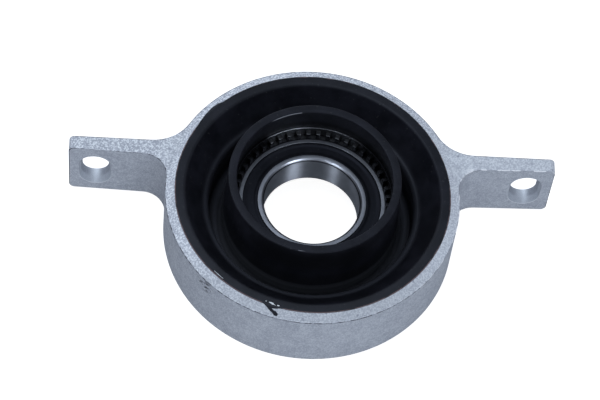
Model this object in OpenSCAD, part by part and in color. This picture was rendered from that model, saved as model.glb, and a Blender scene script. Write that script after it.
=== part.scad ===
// Driveshaft centre bearing: a sealed ball bearing, pressed and staked into a steel sleeve,
// hangs in a rubber bellows that is moulded into a cast aluminium bracket with two bolt lugs.
// Millimetres. The shaft axis is Z, the lugs point along X, and Z = 0 is the ring's lower face.

/* [Ball bearing] */
// Bore for the shaft journal, diameter
bore_d = 40; // [37:0.5:43]
// Outside diameter of the bearing
bearing_od = 62; // [60:0.5:66]
// Width of the bearing
bearing_w = 15; // [13:0.5:17]
// Chamfer at the bore's two ends
bore_chamfer = 1; // [0.5:0.1:1.4]
// Chamfer on the outer race's edges
race_chamfer = 0.4; // [0.2:0.1:0.8]
// Diameter of a ball as a share of the section between bore and outside
ball_share = 0.591; // [0.53:0.001:0.63]
// Number of balls
ball_count = 15; // [11:1:16]
// Height of a race shoulder above its groove as a share of the ball
shoulder_share = 0.231; // [0.19:0.001:0.27]
// Running clearance between a ball and its groove
ball_play = 0.05; // [0.02:0.01:0.1]

/* [Seals] */
// Depth of the seal's seat below the race's end face
seal_seat = 1.5; // [1.2:0.1:1.9]
// How far the seal's bead bites into the outer race
seal_bite = 1.65; // [1.3:0.05:1.9]
// Step in the inner race that the seal's lip runs over
lip_step = 1.15; // [0.9:0.05:1.4]
// Depth of the seal's rim below the race's end face
seal_sink = 0.4; // [0.2:0.1:0.6]
// Width of the raised rims of a seal
seal_rim = 1.1; // [0.8:0.1:1.4]
// Hollow between the raised rims
seal_dish = 0.3; // [0.1:0.05:0.4]
// Running gap of the seal's lip
lip_gap = 0.1; // [0.05:0.05:0.2]

/* [Cage] */
// Thickness of the cage's sheet
cage_sheet = 0.6; // [0.4:0.1:0.8]
// Play of a ball in its pocket
pocket_play = 0.12; // [0.08:0.02:0.2]
// Gap between the cage and a race shoulder
cage_gap = 0.35; // [0.2:0.05:0.5]
// Diameter of a cage rivet
rivet_d = 1.2; // [0.9:0.1:1.4]
// Diameter of a rivet's head
rivet_head_d = 1.9; // [1.6:0.1:2]
// Height of a rivet's head
rivet_head_h = 0.5; // [0.3:0.1:0.7]

/* [Bearing sleeve] */
// Wall of the sleeve around the bearing
sleeve_wall = 2.4; // [2:0.1:3]
// Wall of the sleeve's upper rim
sleeve_rim = 0.7; // [0.5:0.1:1]
// Height of the sleeve's rim above the bearing
sleeve_stand = 5.2; // [4.4:0.1:6]
// Thickness of the inward flange under the bearing
flange_t = 1.6; // [1.2:0.1:2]
// Reach of that flange under the outer race
flange_reach = 2; // [1.4:0.1:2.2]
// Number of staked teeth over the bearing
tooth_count = 48; // [36:4:56]
// Width of a staked tooth
tooth_w = 2; // [1.4:0.1:2.4]
// Height of a staked tooth
tooth_h = 3.4; // [2.6:0.1:4]
// How far the outer race stands out of its seat, up to the teeth
seat_drop = 0.3; // [0.2:0.05:0.5]
// How far a tooth reaches over the outer race
tooth_reach = 0.3; // [0.1:0.1:0.4]

/* [Bracket] */
// Outside diameter of the ring
ring_od = 122.5; // [118:0.5:128]
// Height of the ring's outer wall
ring_h = 31; // [28:0.5:36]
// Wall of the ring
ring_wall = 4; // [3.4:0.1:5]
// Rise of the sloping rim from its outer to its inner edge
rim_rise = 1.9; // [1:0.1:2.6]
// Width of the flat land at the rim's outer edge
rim_land = 0.6; // [0.3:0.1:1]
// Chamfer at the ring's lower edges
foot_chamfer = 0.8; // [0.4:0.1:1.2]
// Distance between the bolt slots
slot_spacing = 182; // [176:1:190]
// Width of a bolt slot in the bolting face
slot_w = 11; // [10:0.2:13]
// Length of a bolt slot in the bolting face, along the shaft axis
slot_l = 18.2; // [15:0.2:20]
// Draft of a slot's wall, which opens towards the lug's other face, in degrees
slot_draft = 9.5; // [4:0.5:12]
// Metal left between the slot's centre and the lug's tip
tip_edge = 11; // [10:0.5:14]
// Thickness of a lug at its tip
lug_t = 6.2; // [5:0.1:8]
// Distance of the lugs' bolting face from the shaft axis
lug_offset = 22.8; // [20:0.2:25]
// Draft of the lug's other face, in degrees
lug_draft = 1.6; // [0.5:0.1:2.5]
// Step from the ring's lower face up to the lugs
lug_lift = 0.8; // [0.4:0.1:1.5]
// Rounding of the lug's tip corners
tip_round = 2.4; // [1:0.2:4]
// Fillet from the bolting face into the ring
back_fillet = 18; // [14:0.5:21]
// Fillet from the other face into the ring
front_fillet = 10; // [7:0.5:12]

/* [Rubber mount] */
// Width of the lip that lines the rim
lip_w = 4.1; // [3:0.1:5]
// Layer of rubber on the ring's bore
bond_t = 2.8; // [2:0.1:3.4]
// Height of the bearing's middle above the ring's middle
bearing_lift = 2.5; // [1.5:0.1:3.5]
// Depth of the ridge below the lip
ridge_drop = 10.3; // [8:0.1:12]
// Step from the trough's wall out to the ridge
ridge_step = 1.2; // [0.8:0.1:2]
// Width of the trough round the hub
trough_w = 6.2; // [5.4:0.1:7]
// Flat left between the roundings of the trough's floor
trough_flat = 0.5; // [0.2:0.1:1]
// Wall of the bellows
bellows_t = 3.6; // [3:0.1:4]
// Rubber between the sleeve and the trough
hub_t = 3.6; // [3:0.1:4.4]
// Rubber that hangs below the sleeve
hub_skirt = 3.5; // [2.8:0.1:4]
// Height of the collar above the ring's outer edge
collar_rise = 12.8; // [10:0.1:15]
// Wall of the collar at its top
collar_t = 3.7; // [3:0.1:4.4]
// How far the collar's mouth stands in from the sleeve's outside
collar_inset = 1.4; // [0.8:0.1:1.6]
// Rounding of the collar's and lip's edges
rubber_round = 0.9; // [0.5:0.1:1.2]

/* [Hidden] */
$fn = 96;
corner_steps = 5;
overcut = 1;
// Depth to which the lugs' fillets run into the ring's wall
fillet_sink = 0.15;

bore_r = bore_d / 2;
bearing_r = bearing_od / 2;
half_w = bearing_w / 2;
bearing_z = ring_h / 2 + bearing_lift;
bearing_top = bearing_z + half_w;
pitch_r = (bore_r + bearing_r) / 2;
ball_d = ball_share * (bearing_r - bore_r);
ball_r = ball_d / 2;
shoulder_h = shoulder_share * ball_d;

// A race groove is a little wider than the ball, as in a deep groove bearing
groove_conformity = 0.52;
groove_r = groove_conformity * ball_d;
groove_shift = groove_r - ball_r - ball_play;
inner_shoulder_r = pitch_r - ball_r + shoulder_h;
outer_shoulder_r = pitch_r + ball_r - shoulder_h;
inner_face_r = inner_shoulder_r - lip_step;
seal_r = outer_shoulder_r + seal_bite;

cage_in_r = inner_shoulder_r + cage_gap;
cage_out_r = outer_shoulder_r - cage_gap;
pocket_r = ball_r + pocket_play;
ball_step = 360 / ball_count;

sleeve_r = bearing_r + sleeve_wall;
sleeve_top = bearing_top + sleeve_stand;
sleeve_foot = bearing_z - half_w - flange_t;
counterbore_r = sleeve_r - sleeve_rim;

ring_r = ring_od / 2;
ring_bore_r = ring_r - ring_wall;
rim_top = ring_h + rim_rise;
lug_tip_x = slot_spacing / 2 + tip_edge;
slot_z = ring_h / 2;

hub_foot = sleeve_foot - hub_skirt;
trough_floor = hub_foot + bellows_t;
trough_in_r = sleeve_r + hub_t;
trough_out_r = trough_in_r + trough_w;
ridge = [trough_out_r + ridge_step, rim_top - ridge_drop];
lip_edge = [ring_bore_r - lip_w, rim_top];
collar_in_r = sleeve_r - collar_inset;
collar_top = ring_h + collar_rise;

function unit(v) = v / norm(v);

// Points of the arc that rounds corner b between its neighbours a and c
function corner_arc(a, b, c, radius) =
    let (
        to_a = unit(a - b),
        to_c = unit(c - b),
        half = acos(to_a * to_c) / 2,
        centre = b + unit(to_a + to_c) * radius / sin(half),
        first = b + to_a * radius / tan(half) - centre,
        last = b + to_c * radius / tan(half) - centre,
        start = atan2(first.y, first.x),
        turn = atan2(last.y, last.x) - start,
        sweep = turn > 180 ? turn - 360 : turn < -180 ? turn + 360 : turn
    )
    [for (i = [0:corner_steps]) let (t = start + sweep * i / corner_steps)
        centre + radius * [cos(t), sin(t)]];

// Outline through corners [x, y, radius], each rounded by its own radius
function rounded(corners) =
    let (count = len(corners), p = [for (q = corners) [q.x, q.y]])
    [for (i = [0:count - 1]) each
        corners[i].z == 0
            ? [p[i]]
            : corner_arc(p[(i + count - 1) % count], p[i], p[(i + 1) % count], corners[i].z)];

// Point along `line` from `from` whose distance to the axis is `radius`, on the tip's side
function reach_circle(from, line, radius) =
    let (along = from * line)
    from + line * (sqrt(along * along - from * from + radius * radius) - along);

// Plan of the right-hand lug with the two fillets that run it into the ring
module lug_plan() {
    draft_line = [cos(lug_draft), sin(lug_draft)];
    draft_normal = [sin(lug_draft), -cos(lug_draft)];
    tip_back = [lug_tip_x, lug_offset];
    tip_front = [lug_tip_x, lug_offset - lug_t];
    sunk_r = ring_r - fillet_sink;
    back_centre = reach_circle([0, lug_offset + back_fillet], [1, 0], sunk_r + back_fillet);
    front_centre = reach_circle(
        tip_front + front_fillet * draft_normal, draft_line, sunk_r + front_fillet);
    difference() {
        polygon([
            tip_back,
            back_centre - [0, back_fillet],
            unit(back_centre) * sunk_r,
            [0, 0],
            unit(front_centre) * sunk_r,
            front_centre - front_fillet * draft_normal,
            tip_front
        ]);
        translate(back_centre) circle(back_fillet);
        translate(front_centre) circle(front_fillet);
    }
}

// Side view of the right-hand lug: square to the ring, with rounded tip corners
module lug_side() {
    polygon(rounded([
        [0, lug_lift, 0],
        [lug_tip_x, lug_lift, tip_round],
        [lug_tip_x, ring_h, tip_round],
        [0, ring_h, 0]
    ]));
}

// Bolt slot, long along the shaft axis: its walls open from the bolting face to the other one
module slot_cutter() {
    half_straight = (slot_l - slot_w) / 2;
    depth = 2 * lug_t;
    near_r = slot_w / 2 - overcut * tan(slot_draft);
    far_r = slot_w / 2 + depth * tan(slot_draft);
    translate([slot_spacing / 2, lug_offset + overcut, slot_z]) rotate([90, 0, 0]) {
        for (side = [-1, 1]) translate([0, side * half_straight, 0])
            cylinder(r1 = near_r, r2 = far_r, h = depth + overcut);
        rotate([90, 0, 0]) linear_extrude(2 * half_straight, center = true) polygon([
            [-near_r, 0],
            [near_r, 0],
            [far_r, depth + overcut],
            [-far_r, depth + overcut]
        ]);
    }
}

module lug() {
    difference() {
        intersection() {
            linear_extrude(ring_h) lug_plan();
            translate([0, ring_r, 0]) rotate([90, 0, 0]) linear_extrude(ring_od) lug_side();
        }
        slot_cutter();
    }
}

// Cast ring with a sloping rim and two lugs, bored through
module bracket() {
    color([0.66, 0.69, 0.74]) difference() {
        union() {
            rotate_extrude() polygon([
                [ring_bore_r - overcut, 0],
                [ring_r - foot_chamfer, 0],
                [ring_r, foot_chamfer],
                [ring_r, ring_h],
                [ring_r - rim_land, ring_h],
                [ring_bore_r, rim_top],
                [ring_bore_r - overcut, rim_top]
            ]);
            lug();
            mirror([1, 0, 0]) lug();
        }
        translate([0, 0, -overcut]) cylinder(r = ring_bore_r, h = rim_top + 2 * overcut);
    }
}

// One rubber moulding: lip and bond layer on the ring, folded bellows, hub and tall collar
module rubber_mount() {
    slope = unit(lip_edge - ridge);
    underside = ridge + bellows_t * [slope.y, -slope.x];
    bellows_out_r = trough_out_r + bellows_t;
    bond_r = ring_bore_r - bond_t;
    fold = underside + slope * (bellows_out_r - underside.x) / slope.x;
    crown = underside + slope * (bond_r - underside.x) / slope.x;
    trough_round = (trough_w - trough_flat) / 2;
    color([0.07, 0.075, 0.085]) rotate_extrude() polygon(rounded([
        [ring_bore_r, rim_top, 0],
        [lip_edge.x, lip_edge.y, rubber_round],
        [ridge.x, ridge.y, rubber_round],
        [trough_out_r, trough_floor, trough_round],
        [trough_in_r, trough_floor, trough_round],
        [collar_in_r + collar_t, collar_top, rubber_round],
        [collar_in_r, collar_top, rubber_round],
        [sleeve_r, sleeve_top, 0],
        [sleeve_r, hub_foot, rubber_round],
        [bellows_out_r, hub_foot, trough_round],
        [fold.x, fold.y, rubber_round],
        [crown.x, crown.y, rubber_round],
        [bond_r, foot_chamfer, rubber_round],
        [ring_bore_r, foot_chamfer, 0]
    ]));
}

// Steel sleeve bonded into the hub, with a ring of teeth staked over the bearing
module bearing_sleeve() {
    flange_r = bearing_r - flange_reach;
    seat_foot = sleeve_foot + flange_t;
    color([0.2, 0.2, 0.21]) {
        rotate_extrude() polygon([
            [flange_r, sleeve_foot],
            [sleeve_r, sleeve_foot],
            [sleeve_r, sleeve_top],
            [counterbore_r, sleeve_top],
            [counterbore_r, bearing_top - seat_drop],
            [bearing_r, bearing_top - seat_drop],
            [bearing_r, seat_foot],
            [flange_r, seat_foot]
        ]);
        tooth_in_r = bearing_r - tooth_reach;
        for (i = [0:tooth_count - 1]) rotate((i + 0.5) * 360 / tooth_count)
            translate([tooth_in_r, -tooth_w / 2, bearing_top])
                cube([counterbore_r + sleeve_rim / 2 - tooth_in_r, tooth_w, tooth_h]);
    }
}

// Half section of the outer race, mirrored about the bearing's middle
module outer_race() {
    seat_h = half_w - seal_seat;
    color([0.55, 0.56, 0.58]) translate([0, 0, bearing_z]) rotate_extrude() difference() {
        polygon([
            [bearing_r, half_w - race_chamfer],
            [bearing_r - race_chamfer, half_w],
            [seal_r, half_w],
            [seal_r, seat_h],
            [outer_shoulder_r, seat_h],
            [outer_shoulder_r, -seat_h],
            [seal_r, -seat_h],
            [seal_r, -half_w],
            [bearing_r - race_chamfer, -half_w],
            [bearing_r, race_chamfer - half_w]
        ]);
        translate([pitch_r - groove_shift, 0]) circle(groove_r);
    }
}

// Inner race with a chamfered bore and a step for each seal's lip
module inner_race() {
    seat_h = half_w - seal_seat;
    color([0.72, 0.73, 0.75]) translate([0, 0, bearing_z]) rotate_extrude() difference() {
        polygon([
            [bore_r, half_w - bore_chamfer],
            [bore_r + bore_chamfer, half_w],
            [inner_face_r, half_w],
            [inner_face_r, seat_h],
            [inner_shoulder_r, seat_h],
            [inner_shoulder_r, -seat_h],
            [inner_face_r, -seat_h],
            [inner_face_r, -half_w],
            [bore_r + bore_chamfer, -half_w],
            [bore_r, bore_chamfer - half_w]
        ]);
        translate([pitch_r + groove_shift, 0]) circle(groove_r);
    }
}

// Rubber seal, beaded into the outer race, its lip running over the inner race's step
module seal() {
    lip_r = inner_face_r + lip_gap;
    seat_h = half_w - seal_seat;
    web_h = seat_h + 2 * lip_gap;
    rim_h = half_w - seal_sink;
    dish_h = rim_h - seal_dish;
    color([0.09, 0.09, 0.1]) rotate_extrude() polygon([
        [lip_r, web_h],
        [lip_r, rim_h],
        [lip_r + seal_rim, rim_h],
        [lip_r + seal_rim + seal_dish, dish_h],
        [seal_r - seal_rim - seal_dish, dish_h],
        [seal_r - seal_rim, rim_h],
        [seal_r, rim_h],
        [seal_r, seat_h],
        [outer_shoulder_r, seat_h],
        [outer_shoulder_r, web_h]
    ]);
}

module upper_seal() {
    translate([0, 0, bearing_z]) seal();
}

module lower_seal() {
    translate([0, 0, bearing_z]) mirror([0, 0, 1]) seal();
}

// Places its children at every ball, or midway between the balls with shift = 0.5
module at_balls(shift = 0) {
    for (i = [0:ball_count - 1]) rotate((i + shift) * ball_step) translate([pitch_r, 0, 0])
        children();
}

// Pressed half of the ball cage: flat webs between half-round pockets
module cage_half() {
    shell_r = pocket_r + cage_sheet;
    color([0.5, 0.5, 0.48]) difference() {
        intersection() {
            union() {
                cylinder(r = cage_out_r + overcut, h = cage_sheet);
                at_balls() sphere(shell_r);
            }
            difference() {
                cylinder(r = cage_out_r, h = shell_r + overcut);
                translate([0, 0, -overcut]) cylinder(r = cage_in_r, h = shell_r + 3 * overcut);
            }
        }
        at_balls() sphere(pocket_r);
        at_balls(0.5) cylinder(d = rivet_d, h = 4 * cage_sheet, center = true);
    }
}

module upper_cage() {
    translate([0, 0, bearing_z]) cage_half();
}

module lower_cage() {
    translate([0, 0, bearing_z]) mirror([0, 0, 1]) cage_half();
}

// One rivet between each two balls, headed on both cage halves
module cage_rivets() {
    color([0.6, 0.6, 0.58]) translate([0, 0, bearing_z]) at_balls(0.5) {
        cylinder(d = rivet_d, h = 2 * cage_sheet, center = true);
        for (side = [-1, 1]) translate([0, 0, side * (cage_sheet + rivet_head_h / 2)])
            cylinder(d = rivet_head_d, h = rivet_head_h, center = true);
    }
}

module ball(index) {
    color([0.75, 0.76, 0.78]) translate([0, 0, bearing_z]) rotate((index - 1) * ball_step)
        translate([pitch_r, 0, 0]) sphere(ball_r);
}

bracket();
rubber_mount();
bearing_sleeve();
outer_race();
inner_race();
upper_seal();
lower_seal();
upper_cage();
lower_cage();
cage_rivets();
for (i = [1:ball_count])
    ball(i);
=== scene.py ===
import math

import bmesh
import bpy
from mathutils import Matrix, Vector


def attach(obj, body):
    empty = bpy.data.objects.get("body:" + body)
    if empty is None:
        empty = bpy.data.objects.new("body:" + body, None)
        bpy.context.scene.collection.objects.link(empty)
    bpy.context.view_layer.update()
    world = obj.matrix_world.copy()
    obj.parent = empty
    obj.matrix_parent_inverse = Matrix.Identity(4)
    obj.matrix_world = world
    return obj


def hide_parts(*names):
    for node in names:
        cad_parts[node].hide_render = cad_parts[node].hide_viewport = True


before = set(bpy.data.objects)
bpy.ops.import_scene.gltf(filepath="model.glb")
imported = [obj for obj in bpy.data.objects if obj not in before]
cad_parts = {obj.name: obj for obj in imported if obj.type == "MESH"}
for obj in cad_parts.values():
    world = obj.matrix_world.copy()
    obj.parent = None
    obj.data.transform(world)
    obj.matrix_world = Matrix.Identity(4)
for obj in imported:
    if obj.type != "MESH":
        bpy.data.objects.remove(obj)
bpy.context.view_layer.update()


# Bracket
# The outer ring and its two bolt lugs are one aluminium casting, shot-blasted all over.
# The slots are cast through the lugs, and the rim slopes up to where the rubber is bonded in.

MM = 0.001
MERGE = 1e-6
ring_r = 61.25
ring_bore_r = 57.25
ring_h = 31.0
rim_land = 0.6
rim_top = 32.9
foot_chamfer = 0.8
slot_x = 91.0
slot_z = ring_h / 2
slot_half_w = 5.5
slot_half_straight = 3.6
slot_draft = math.radians(9.5)
core_past = 3.0
lug_tip_x = 102.0
lug_back_y = 22.8
lug_t = 6.2
lug_foot = 0.8
lug_draft = math.radians(1.6)
tip_round = 2.4
tip_angles = range(0, 91, 15)
back_fillet = 18.0
front_fillet = 10.0
cast_edge = 0.28
cast_edge_steps = 3
cast_edge_angle = math.radians(35)
cast_smooth = 30
slot_edge = 0.18
slot_edge_steps = 2
ring_step = math.radians(1.25)
fillet_step = math.radians(6)


def polar(radius, angle):
    return Vector((radius * math.cos(angle), radius * math.sin(angle)))


def arc(centre, radius, start, end, step):
    """Points round a centre from one angle to another, both ends included."""
    count = max(2, round(abs(end - start) / step))
    return [centre + polar(radius, start + (end - start) * i / count) for i in range(count + 1)]


def reach_circle(place, line, radius):
    """Point along a line whose distance to the shaft axis is the radius, on the tip's side."""
    along = place.dot(line)
    return place + line * (math.sqrt(along * along - place.dot(place) + radius * radius) - along)


def half_plan():
    """Right half of the bracket's plan from front to back, and the ring angle under each point."""
    draft_line = polar(1, lug_draft)
    draft_normal = polar(1, lug_draft - math.pi / 2)
    tip_front = Vector((lug_tip_x, lug_back_y - lug_t))
    tip_back = Vector((lug_tip_x, lug_back_y))
    start = tip_front + front_fillet * draft_normal
    front_centre = reach_circle(start, draft_line, ring_r + front_fillet)
    start = Vector((0, lug_back_y + back_fillet))
    back_centre = reach_circle(start, Vector((1, 0)), ring_r + back_fillet)
    front_angle = math.atan2(front_centre.y, front_centre.x)
    back_angle = math.atan2(back_centre.y, back_centre.x)
    middle = Vector((0, 0))
    front_ring = arc(middle, ring_r, -math.pi / 2, front_angle, ring_step)
    back_ring = arc(middle, ring_r, back_angle, math.pi / 2, ring_step)
    root = front_angle + math.pi
    front_glint = arc(front_centre, front_fillet, root, lug_draft + math.pi / 2, fillet_step)
    root = back_angle - math.pi
    back_glint = arc(back_centre, back_fillet, -math.pi / 2, root, fillet_step)
    lug = front_glint[1:] + [tip_front, tip_back] + back_glint[:-1]
    spread = (back_angle - front_angle) / (len(lug) + 1)
    angles = [math.atan2(p.y, p.x) for p in front_ring]
    angles += [front_angle + spread * (i + 1) for i in range(len(lug))]
    angles += [math.atan2(p.y, p.x) for p in back_ring]
    return front_ring + lug + back_ring, angles


def wire(name, places):
    """New piece that is an open chain of edges through the places, left in edit mode."""
    bpy.ops.object.select_all(action="DESELECT")
    bpy.ops.mesh.primitive_plane_add(size=MM)
    piece = bpy.context.object
    piece.name = name
    piece.data.name = name
    bpy.ops.object.mode_set(mode="EDIT")
    bpy.ops.mesh.merge(type="CENTER")
    bpy.ops.transform.translate(value=places[0])
    for here, there in zip(places, places[1:]):
        bpy.ops.mesh.extrude_vertices_move(TRANSFORM_OT_translate={"value": there - here})
    return piece


def pick(piece, wanted):
    """Selects the vertices whose place is wanted, and the edges and faces between them."""
    bpy.ops.mesh.select_all(action="DESELECT")
    mesh = bmesh.from_edit_mesh(piece.data)
    for vert in mesh.verts:
        vert.select = wanted(vert.co)
    mesh.select_flush_mode()
    bmesh.update_edit_mesh(piece.data)


def near(place, target):
    return (place - target).length < MERGE


def join_ends(piece, places):
    """Closes the chain with an edge from its last place to its first."""
    pick(piece, lambda co: near(co, places[0]) or near(co, places[-1]))
    bpy.ops.mesh.edge_face_add()


def loft(name, levels, closed=True):
    """New skin through matching chains of places, each extruded from the one before, in edit mode."""
    piece = wire(name, levels[0])
    if closed:
        join_ends(piece, levels[0])
    bpy.ops.mesh.select_all(action="SELECT")
    for here, there in zip(levels, levels[1:]):
        bpy.ops.mesh.extrude_edges_move()
        mesh = bmesh.from_edit_mesh(piece.data)
        for vert in [v for v in mesh.verts if v.select]:
            index = min(range(len(here)), key=lambda i: (here[i] - vert.co).length_squared)
            vert.co = there[index]
        bmesh.update_edit_mesh(piece.data)
    return piece


def close_mesh():
    """Merges doubles and turns every face outwards."""
    bpy.ops.mesh.select_all(action="SELECT")
    bpy.ops.mesh.remove_doubles(threshold=MERGE)
    bpy.ops.mesh.normals_make_consistent(inside=False)


def apply_modifier(piece, kind, **settings):
    """Adds a modifier with these settings to the piece and applies it."""
    bpy.ops.object.select_all(action="DESELECT")
    bpy.context.view_layer.objects.active = piece
    piece.select_set(True)
    bpy.ops.object.modifier_add(type=kind)
    modifier = piece.modifiers[-1]
    for key, value in settings.items():
        setattr(modifier, key, value)
    bpy.ops.object.modifier_apply(modifier=modifier.name)


def smooth(piece, degrees):
    """Smooth shading up to this angle between faces."""
    bpy.ops.object.select_all(action="DESELECT")
    bpy.context.view_layer.objects.active = piece
    piece.select_set(True)
    bpy.ops.object.shade_smooth_by_angle(angle=math.radians(degrees))


def level(points, height):
    return [Vector((p.x, p.y, height)) * MM for p in points]


def circle_level(radius, height):
    return level([polar(radius, a) for a in plan_angles], height)


right_half, right_angles = half_plan()
plan = right_half + [Vector((-p.x, p.y)) for p in reversed(right_half[1:-1])]
plan_angles = right_angles + [math.pi - a for a in reversed(right_angles[1:-1])]


def lug_level(height):
    """Plan of ring and lugs at this height, shorter where the tips are rounded."""
    into = max(0, tip_round - min(height - lug_foot, ring_h - height))
    reach = lug_tip_x - tip_round + math.sqrt(tip_round * tip_round - into * into)
    return level([Vector((max(-reach, min(reach, p.x)), p.y)) for p in plan], height)


round_drops = [tip_round * (1 - math.cos(math.radians(a))) for a in tip_angles]
levels = [
    *[lug_level(ring_h - drop) for drop in round_drops],
    *[lug_level(lug_foot + drop) for drop in reversed(round_drops)],
    circle_level(ring_r, foot_chamfer),
    circle_level(ring_r - foot_chamfer, 0),
    circle_level(ring_bore_r, 0),
    circle_level(ring_bore_r, rim_top),
    circle_level(ring_r - rim_land, ring_h),
    lug_level(ring_h),
]
bracket = loft("bracket_casting", levels)
close_mesh()
bpy.ops.object.mode_set(mode="OBJECT")


def new_material(name):
    """Material with its node tree and Principled shader."""
    material = bpy.data.materials.new(name)
    material.use_nodes = True
    return material, material.node_tree, material.node_tree.nodes["Principled BSDF"]


def add(tree, kind, inputs=None, **settings):
    """Node of this kind, with values or links for its inputs and settings for the node itself."""
    node = tree.nodes.new("ShaderNode" + kind)
    for key, value in settings.items():
        setattr(node, key, value)
    for key, value in (inputs or {}).items():
        if isinstance(value, bpy.types.NodeSocket):
            tree.links.new(value, node.inputs[key])
        else:
            node.inputs[key].default_value = value
    return node


def effect_group(name, inputs, outputs):
    """Empty shader group: inputs are numbers with their defaults, outputs are values."""
    group = bpy.data.node_groups.new(name, "ShaderNodeTree")
    for label, value in inputs.items():
        socket = group.interface.new_socket(label, in_out="INPUT", socket_type="NodeSocketFloat")
        socket.default_value = value
    for label in outputs:
        group.interface.new_socket(label, in_out="OUTPUT", socket_type="NodeSocketFloat")
    return group, group.nodes.new("NodeGroupInput"), group.nodes.new("NodeGroupOutput")


def use_group(tree, group):
    """Outputs of a shader group placed in this tree."""
    node = tree.nodes.new("ShaderNodeGroup")
    node.node_tree = group
    return node.outputs


def mm(*lengths):
    """Lengths in millimetres as the frame's metres."""
    return [length * MM for length in lengths]


def ramp(tree, factor, low, high):
    """Mask that rises from 0 to 1 while the factor goes from low to high."""
    node = add(tree, "MapRange", {0: factor, 1: low, 2: high}, interpolation_type="SMOOTHSTEP")
    return node.outputs[0]


def zone(tree, length, low, high):
    """Mask that rises from 0 to 1 while a length goes from low to high, in millimetres."""
    return ramp(tree, length, *mm(low, high))


def map_range(tree, value, low, high, first, last):
    """Value that goes evenly from first to last while another goes from low to high."""
    return add(tree, "MapRange", {0: value, 1: low, 2: high, 3: first, 4: last}).outputs[0]


def math_node(tree, operation, first, second=0.0, third=0.0):
    return add(tree, "Math", {0: first, 1: second, 2: third}, operation=operation).outputs[0]


def product(tree, first, *others):
    """Masks or values multiplied with each other."""
    for other in others:
        first = math_node(tree, "MULTIPLY", first, other)
    return first


def scale_add(tree, value, gain, base):
    """Value times a gain, on top of a base."""
    return math_node(tree, "MULTIPLY_ADD", value, gain, base)


def band(tree, value, start, full, last, end):
    """Mask that rises from start to full and falls again from last to end, in millimetres."""
    return product(tree, zone(tree, value, start, full), zone(tree, value, end, last))


def mix_colour(tree, factor, first, second):
    """First colour where the factor is 0, second where it is 1."""
    node = add(tree, "Mix", data_type="RGBA")
    factor_in, first_in, second_in = node.inputs[0], node.inputs[6], node.inputs[7]
    for socket, value in ((factor_in, factor), (first_in, first), (second_in, second)):
        if isinstance(value, bpy.types.NodeSocket):
            tree.links.new(value, socket)
        else:
            socket.default_value = value
    return node.outputs[2]


def noise_value(tree, place, scale, detail=2.0, roughness=0.5):
    inputs = {"Vector": place, "Scale": scale, "Detail": detail, "Roughness": roughness}
    return add(tree, "TexNoise", inputs).outputs[0]


def feed_skin(tree, shader, colour, rough, height, bump, depth):
    """Feeds a skin's colour, roughness and bump of this depth in millimetres to the shader."""
    tree.links.new(colour, shader.inputs["Base Color"])
    tree.links.new(rough, shader.inputs["Roughness"])
    bumps = add(tree, "Bump", {"Strength": bump, "Distance": depth * MM, "Height": height})
    tree.links.new(bumps.outputs[0], shader.inputs["Normal"])


# Shot-blasted casting skin: coarse flecks, pits, drawn grain, mottle, broad patches and a pitted height
pit_scale = 560.0
grain_scale = 3200.0
grain_draw = (1, 1, 0.45)
mottle_scale = 420.0
fleck_span = (0.4, 0.64)
pit_span = (0.69, 0.74)
skin_span = (0.3, 0.7)
grain_height = 0.5
blasted_skin, skin_in, skin_out = effect_group(
    "blasted_skin",
    {"Fleck scale": 1400.0, "Patch scale": 130.0},
    ("Fleck", "Pit", "Grain", "Mottle", "Patch", "Height"),
)
place = add(blasted_skin, "TexCoord").outputs["Object"]
fleck = noise_value(blasted_skin, place, skin_in.outputs["Fleck scale"], detail=2.0, roughness=0.55)
pit = noise_value(blasted_skin, place, pit_scale, detail=1.0)
drawn = add(blasted_skin, "VectorMath", {0: place, 1: grain_draw}, operation="MULTIPLY").outputs[0]
grain = noise_value(blasted_skin, drawn, grain_scale, detail=2.0, roughness=0.6)
mottle = noise_value(blasted_skin, place, mottle_scale, detail=3.0)
patch = noise_value(blasted_skin, place, skin_in.outputs["Patch scale"], detail=4.0, roughness=0.6)
for label, value, span in (
    ("Fleck", fleck, fleck_span), ("Pit", pit, pit_span), ("Grain", grain, skin_span),
    ("Mottle", mottle, skin_span), ("Patch", patch, skin_span),
):
    blasted_skin.links.new(ramp(blasted_skin, value, *span), skin_out.inputs[label])
blasted_skin.links.new(scale_add(blasted_skin, grain, grain_height, fleck), skin_out.inputs["Height"])

# Tones of the skin, with painted light: the tops are painted lighter than the walls, and their flecks are
# painted brightest on the left and the far side of the top, as sparkle
lit_top_z = (28.2, 29.2)
lit_top_facing = (0.25, 0.8)
sparkle_x = (-70.0, -30.0)
sparkle_gain = (0.9, 0.46)
sparkle_far_y = (25.0, 45.0)
sparkle_far_gain = (1.0, 2.2)
fleck_middle = 0.5
lit_top_tone = 0.56
pit_tone = -0.5
grain_tone = (0.13, 0.35)
mottle_tone = 0.18
wall_fleck = 0.3
patch_tone = (-0.08, 0.08)


def blasted_tone(tree, skin, axes, lit_top):
    """Flecks and pits on the upper side, a mottled grain on the walls, and broad patches on both. The upper
    side is painted lighter than the walls, and its flecks brighter on the left and far side, as painted
    light.
    """
    gain = product(
        tree,
        map_range(tree, axes["X"], *mm(*sparkle_x), *sparkle_gain),
        map_range(tree, axes["Y"], *mm(*sparkle_far_y), *sparkle_far_gain),
    )
    fleck = math_node(tree, "SUBTRACT", skin["Fleck"], fleck_middle)
    top = scale_add(tree, fleck, gain, lit_top_tone)
    top = scale_add(tree, skin["Pit"], pit_tone, top)
    wall = map_range(tree, skin["Grain"], 0, 1, *grain_tone)
    wall = scale_add(tree, skin["Mottle"], mottle_tone, wall)
    wall = scale_add(tree, fleck, wall_fleck, wall)
    speckle = add(tree, "Mix", {0: lit_top, 2: wall, 3: top}).outputs[0]
    return math_node(tree, "ADD", speckle, map_range(tree, skin["Patch"], 0, 1, *patch_tone))
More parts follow.
